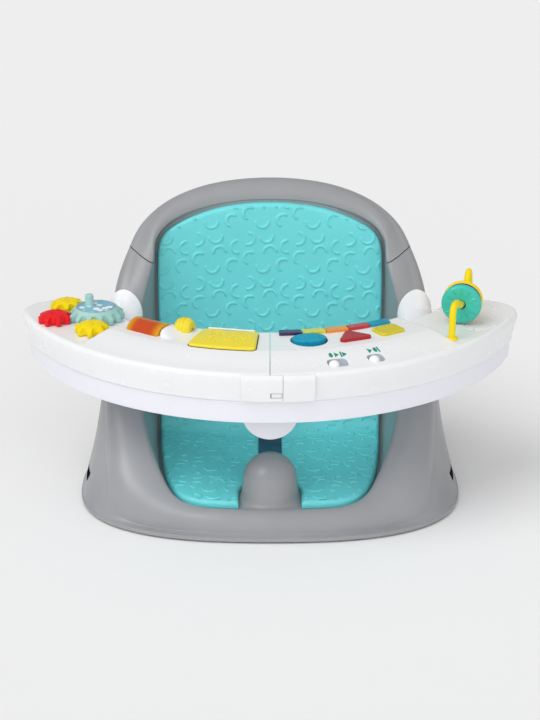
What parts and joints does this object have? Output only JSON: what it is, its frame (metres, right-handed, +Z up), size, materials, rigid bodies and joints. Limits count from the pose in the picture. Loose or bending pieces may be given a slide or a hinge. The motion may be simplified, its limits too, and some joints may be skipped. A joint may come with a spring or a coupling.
{
  "type": "baby floor seat",
  "caption": "Moulded floor seat for a baby with a foam liner, a pommel and lap harness, and a lift-off tray with two toy decks of gears, roller, keys, buttons and a bead wire.",
  "frame": {"origin": "on the floor, under the middle of the whole part's box", "axes": "+X to the right as seen from the front, -Y towards the front, +Z up"},
  "size_m": [0.5144, 0.3093, 0.309],
  "materials": {
    "grey_plastic": "satin moulded grey plastic",
    "base_plastic": "matt grey plastic",
    "foot_rubber": "matt rubber",
    "screw_steel": "zinc plated steel",
    "foam": "soft moulded foam with embossed arcs",
    "webbing": "ribbed polyester webbing",
    "buckle_plastic": "moulded plastic",
    "tray_white": "smooth white plastic with a lavender cast",
    "deck_white": "smooth white plastic",
    "cover_white": "off-white plastic",
    "sage_plastic": "sage green plastic",
    "disc_print": "printed disc with a plain pattern",
    "yellow_plastic": "yellow plastic",
    "red_plastic": "red plastic",
    "flap_yellow": "embossed yellow plastic",
    "amber_clear": "translucent amber plastic",
    "core_orange": "orange plastic",
    "key_purple": "fine-textured purple plastic",
    "key_yellow": "fine-textured yellow plastic",
    "key_orange": "fine-textured orange plastic",
    "key_red": "fine-textured red plastic",
    "key_blue": "fine-textured blue plastic",
    "button_teal": "ribbed teal plastic",
    "knob_white": "white plastic",
    "bead_teal": "translucent teal plastic",
    "bead_purple": "purple plastic",
    "silicone": "silicone rubber",
    "board_green": "green circuit board",
    "speaker_black": "black speaker",
    "cell_metal": "battery cells"
  },
  "bodies": {
    "root": {"seat_shell": "grey_plastic", "backrest_arch": "grey_plastic", "base_plate": "base_plastic", "rubber_feet": "foot_rubber", "base_screws": "screw_steel", "seat_liner": "foam", "crotch_strap": "webbing", "waist_strap_left": "webbing", "waist_strap_right": "webbing", "harness_buckle": "buckle_plastic"},
    "tray": {"snack_tray": "tray_white", "tray_tongue": "cover_white", "arm_hook_left": "deck_white", "arm_hook_right": "deck_white"},
    "deck_left": {"toy_deck_left": "deck_white", "deck_cover_left": "cover_white", "deck_screws_left": "screw_steel", "front_clasp_left": "deck_white", "roller_axle": "screw_steel", "roller_cheek": "deck_white", "spinner_axle": "screw_steel", "flap_pin": "screw_steel"},
    "deck_right": {"toy_deck_right": "deck_white", "deck_cover_right": "cover_white", "deck_screws_right": "screw_steel", "front_clasp_right": "deck_white", "bead_wire": "yellow_plastic", "keypad": "silicone", "circuit_board": "board_green", "speaker": "speaker_black", "batteries": "cell_metal", "battery_door": "cover_white"},
    "drive_gear": {"drive_gear": "sage_plastic", "gear_disc": "disc_print", "crank_peg": "sage_plastic"},
    "small_gear_front": {"small_gear_front": "yellow_plastic"},
    "small_gear_side": {"small_gear_side": "red_plastic"},
    "small_gear_rear": {"small_gear_rear": "yellow_plastic"},
    "roller": {"roller_drum": "amber_clear", "roller_core": "core_orange"},
    "spinner": {"spinner": "yellow_plastic"},
    "flap": {"flap": "flap_yellow"},
    "key_1": {"key_1": "key_purple"},
    "key_2": {"key_2": "key_yellow"},
    "key_3": {"key_3": "key_orange"},
    "key_4": {"key_4": "key_red"},
    "key_5": {"key_5": "key_blue"},
    "round_button": {"round_button": "button_teal"},
    "triangle_button": {"triangle_button": "key_red"},
    "oblong_button": {"oblong_button": "key_yellow"},
    "power_switch": {"power_switch": "knob_white"},
    "mode_switch": {"mode_switch": "knob_white"},
    "front_bead": {"front_bead": "bead_teal"},
    "middle_bead": {"middle_bead": "bead_purple"},
    "rear_bead": {"rear_bead": "yellow_plastic"}
  },
  "joints": [
    {"name": "tray_lift", "type": "slide", "parent": "root", "child": "tray", "axis": [0, 0, 1], "range_m": [0, 0.12]},
    {"name": "deck_left_lift", "type": "slide", "parent": "tray", "child": "deck_left", "axis": [0, -0.2873, 0.9578], "range_m": [0, 0.06]},
    {"name": "deck_right_lift", "type": "slide", "parent": "tray", "child": "deck_right", "axis": [0, 0, 1], "range_m": [0, 0.06]},
    {"name": "drive_gear_spin", "type": "hinge", "parent": "deck_left", "child": "drive_gear", "pos_m": [-0.178, 0.007, 0.193], "axis": [0, 0, 1], "continuous": true},
    {"name": "small_gear_front_spin", "type": "hinge", "parent": "deck_left", "child": "small_gear_front", "pos_m": [-0.17874, -0.03549, 0.193], "axis": [0, 0, 1], "continuous": true},
    {"name": "small_gear_side_spin", "type": "hinge", "parent": "deck_left", "child": "small_gear_side", "pos_m": [-0.21905, -0.004, 0.193], "axis": [0, 0, 1], "continuous": true},
    {"name": "small_gear_rear_spin", "type": "hinge", "parent": "deck_left", "child": "small_gear_rear", "pos_m": [-0.21056, 0.03432, 0.193], "axis": [0, 0, 1], "continuous": true},
    {"name": "roller_spin", "type": "hinge", "parent": "deck_left", "child": "roller", "pos_m": [-0.11933, -0.04792, 0.1945], "axis": [0.8151, -0.5793, 0], "continuous": true},
    {"name": "spinner_spin", "type": "hinge", "parent": "deck_left", "child": "spinner", "pos_m": [-0.08478, -0.05004, 0.2035], "axis": [0.8949, -0.4462, 0], "continuous": true},
    {"name": "flap_swing", "type": "hinge", "parent": "deck_left", "child": "flap", "pos_m": [-0.03783, -0.05799, 0.2045], "axis": [-0.9781, 0.2079, 0], "range_deg": [0, 100]},
    {"name": "key_1_press", "type": "slide", "parent": "deck_right", "child": "key_1", "axis": [0, 0, -1], "range_m": [0, 0.002], "stiffness_N_per_m": 400},
    {"name": "key_2_press", "type": "slide", "parent": "deck_right", "child": "key_2", "axis": [0, 0, -1], "range_m": [0, 0.002], "stiffness_N_per_m": 400},
    {"name": "key_3_press", "type": "slide", "parent": "deck_right", "child": "key_3", "axis": [0, 0, -1], "range_m": [0, 0.002], "stiffness_N_per_m": 400},
    {"name": "key_4_press", "type": "slide", "parent": "deck_right", "child": "key_4", "axis": [0, 0, -1], "range_m": [0, 0.002], "stiffness_N_per_m": 400},
    {"name": "key_5_press", "type": "slide", "parent": "deck_right", "child": "key_5", "axis": [0, 0, -1], "range_m": [0, 0.002], "stiffness_N_per_m": 400},
    {"name": "round_button_press", "type": "slide", "parent": "deck_right", "child": "round_button", "axis": [0, 0, -1], "range_m": [0, 0.002], "stiffness_N_per_m": 400},
    {"name": "triangle_button_press", "type": "slide", "parent": "deck_right", "child": "triangle_button", "axis": [0, 0, -1], "range_m": [0, 0.002], "stiffness_N_per_m": 400},
    {"name": "oblong_button_press", "type": "slide", "parent": "deck_right", "child": "oblong_button", "axis": [0, 0, -1], "range_m": [0, 0.002], "stiffness_N_per_m": 400},
    {"name": "power_switch_slide", "type": "slide", "parent": "deck_right", "child": "power_switch", "axis": [0.9677, 0.2521, 0], "range_m": [0, 0.008]},
    {"name": "mode_switch_slide", "type": "slide", "parent": "deck_right", "child": "mode_switch", "axis": [0.9178, 0.3971, 0], "range_m": [0, 0.005]},
    {"name": "front_bead_spin", "type": "hinge", "parent": "deck_right", "child": "front_bead", "pos_m": [0.19536, -0.00499, 0.2152], "axis": [0.2256, 0.9742, 0], "continuous": true},
    {"name": "middle_bead_spin", "type": "hinge", "parent": "deck_right", "child": "middle_bead", "pos_m": [0.19536, -0.00499, 0.2152], "axis": [0.2256, 0.9742, 0], "continuous": true},
    {"name": "rear_bead_spin", "type": "hinge", "parent": "deck_right", "child": "rear_bead", "pos_m": [0.19536, -0.00499, 0.2152], "axis": [0.2256, 0.9742, 0], "continuous": true}
  ],
  "couplings": [
    {"joint": "small_gear_front_spin", "follows": "drive_gear_spin", "ratio": -1.75},
    {"joint": "small_gear_side_spin", "follows": "drive_gear_spin", "ratio": -1.75},
    {"joint": "small_gear_rear_spin", "follows": "drive_gear_spin", "ratio": -1.75}
  ]
}
